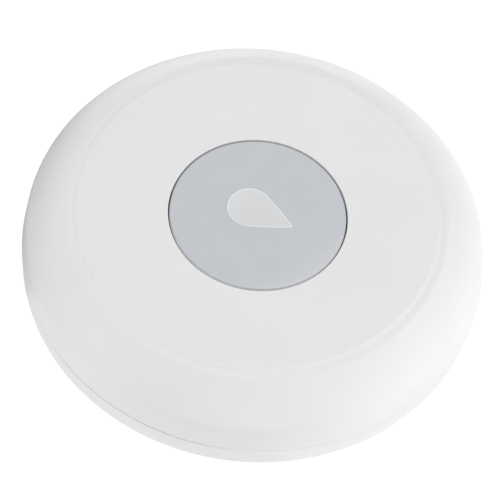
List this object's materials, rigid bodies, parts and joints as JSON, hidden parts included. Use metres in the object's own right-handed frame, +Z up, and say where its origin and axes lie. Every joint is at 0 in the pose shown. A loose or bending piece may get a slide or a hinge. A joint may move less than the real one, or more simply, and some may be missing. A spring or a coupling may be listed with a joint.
{
  "type": "water leak sensor",
  "caption": "Round white puck leak sensor with a stepped flat top, a central grey push button with a drop-shaped window, and probes and a battery cap underneath.",
  "frame": {"origin": "centre of the circle of the puck on the floor that the rubber feet stand on", "axes": "+Z up through the puck's axis and out of the button; +Y towards the tip of the drop-shaped window; +X to the right of it"},
  "size_m": [0.075, 0.075, 0.019],
  "materials": {
    "shell_white": "fine satin moulded ABS, white",
    "button_grey": "satin moulded polycarbonate, cool light grey",
    "lens_light": "translucent diffusing polycarbonate, pale grey",
    "clear_acrylic": "clear moulded light guide",
    "silicone": "translucent silicone",
    "seal_rubber": "black moulded rubber",
    "foot_rubber": "grey moulded rubber, matt",
    "vent_film": "white porous film",
    "circuit_board": "green solder mask",
    "black_plastic": "black moulded plastic",
    "inner_plastic": "dark grey moulded plastic",
    "led_body": "small surface-mount lamps",
    "tinned_steel": "tinned sheet steel",
    "ceramic_parts": "small chip parts with tinned ends",
    "capacitor_body": "moulded yellow capacitor",
    "contact_gold": "gold-plated spring metal",
    "cell_steel": null,
    "screw_steel": "zinc-plated steel",
    "probe_steel": "bright stainless steel",
    "brass_pillar": "turned brass"
  },
  "bodies": {
    "housing": {"top_cover": "shell_white", "base_cover": "shell_white", "housing_seal": "seal_rubber", "housing_screws": "screw_steel", "membrane_retainer": "inner_plastic", "retainer_screws": "screw_steel", "button_membrane": "silicone", "main_board": "circuit_board", "switch_body": "black_plastic", "status_leds": "led_body", "radio_board": "circuit_board", "rf_shield": "tinned_steel", "radio_antenna": "contact_gold", "microcontroller": "black_plastic", "crystal": "tinned_steel", "board_components": "ceramic_parts", "reservoir_capacitor": "capacitor_body", "buzzer": "black_plastic", "battery_holder": "inner_plastic", "positive_contact": "contact_gold", "negative_contact": "contact_gold", "probe_screws": "probe_steel", "probe_seals": "seal_rubber", "probe_pillars": "brass_pillar", "sound_membrane": "vent_film", "rubber_feet": "foot_rubber"},
    "button": {"button_cap": "button_grey", "drop_lens": "lens_light", "light_guide": "clear_acrylic", "switch_plunger": "black_plastic"},
    "cell_tray": {"coin_cell": "cell_steel"},
    "battery_cap": {"battery_cap": "shell_white", "cap_seal": "seal_rubber"}
  },
  "joints": [
    {"name": "button_press", "type": "slide", "parent": "housing", "child": "button", "axis": [0, 0, -1], "range_m": [0, 0.0005], "stiffness_N_per_m": 5000, "deforming": ["button_membrane"]},
    {"name": "cap_lift", "type": "slide", "parent": "housing", "child": "cell_tray", "axis": [0, 0, -1], "range_m": [0, 0.0025]},
    {"name": "cap_turn", "type": "hinge", "parent": "cell_tray", "child": "battery_cap", "pos_m": [0, 0, 0], "axis": [0, 0, -1], "range_deg": [0, 75]}
  ],
  "couplings": [
    {"joint": "cap_turn", "follows": "cap_lift", "rad_per_m": 523.6}
  ]
}
